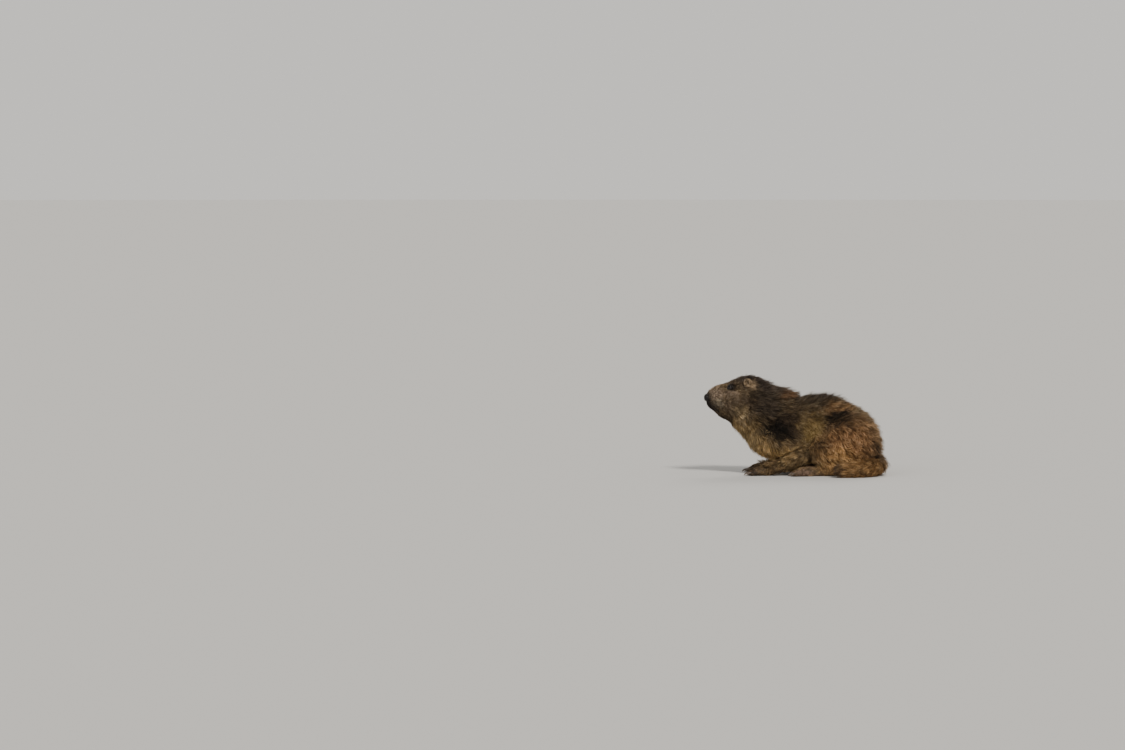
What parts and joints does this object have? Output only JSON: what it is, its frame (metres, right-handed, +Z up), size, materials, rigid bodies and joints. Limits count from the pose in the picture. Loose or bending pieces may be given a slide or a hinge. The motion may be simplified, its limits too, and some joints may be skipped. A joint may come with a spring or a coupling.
{
  "type": "marmot",
  "caption": "Alpine marmot at life size, crouching on its haunches with its chest low, its head raised and its tail curled to its left side.",
  "frame": {"origin": "on the floor, under the middle of the model's box", "axes": "the animal faces -X, its left side is -Y, +Z is up"},
  "size_m": [0.382, 0.2078, 0.2064],
  "materials": {
    "head_fur": "short grey-brown fur, darker on the crown",
    "neck_fur": "dense grizzled grey-brown coat",
    "back_fur": "long dark brown guard hair over paler wool",
    "foreleg_fur": "yellowish tan fur",
    "haunch_fur": "rufous to orange-tan coat",
    "tail_fur": "bushy orange-brown coat with a dark end",
    "ear_fur": "short light tan fur",
    "foot_skin": "bare pinkish-brown sole and thinly haired top",
    "nose_skin": "moist black skin",
    "eye": "wet dark brown eye",
    "claw_horn": "dark horn"
  },
  "bodies": {
    "root": {"head": "head_fur", "nose": "nose_skin", "eye_left": "eye", "eye_right": "eye", "ear_left": "ear_fur", "ear_right": "ear_fur", "neck": "neck_fur", "torso": "back_fur", "foreleg_left": "foreleg_fur", "foreleg_right": "foreleg_fur", "haunch_left": "haunch_fur", "haunch_right": "haunch_fur", "tail": "tail_fur", "forefoot_left": "foot_skin", "forefoot_left_claw_1": "claw_horn", "forefoot_left_claw_2": "claw_horn", "forefoot_left_claw_3": "claw_horn", "forefoot_left_claw_4": "claw_horn", "forefoot_right": "foot_skin", "forefoot_right_claw_1": "claw_horn", "forefoot_right_claw_2": "claw_horn", "forefoot_right_claw_3": "claw_horn", "forefoot_right_claw_4": "claw_horn", "hindfoot_left": "foot_skin", "hindfoot_left_claw_1": "claw_horn", "hindfoot_left_claw_2": "claw_horn", "hindfoot_left_claw_3": "claw_horn", "hindfoot_left_claw_4": "claw_horn", "hindfoot_left_claw_5": "claw_horn", "hindfoot_right": "foot_skin", "hindfoot_right_claw_1": "claw_horn", "hindfoot_right_claw_2": "claw_horn", "hindfoot_right_claw_3": "claw_horn", "hindfoot_right_claw_4": "claw_horn", "hindfoot_right_claw_5": "claw_horn"}
  },
  "joints": []
}
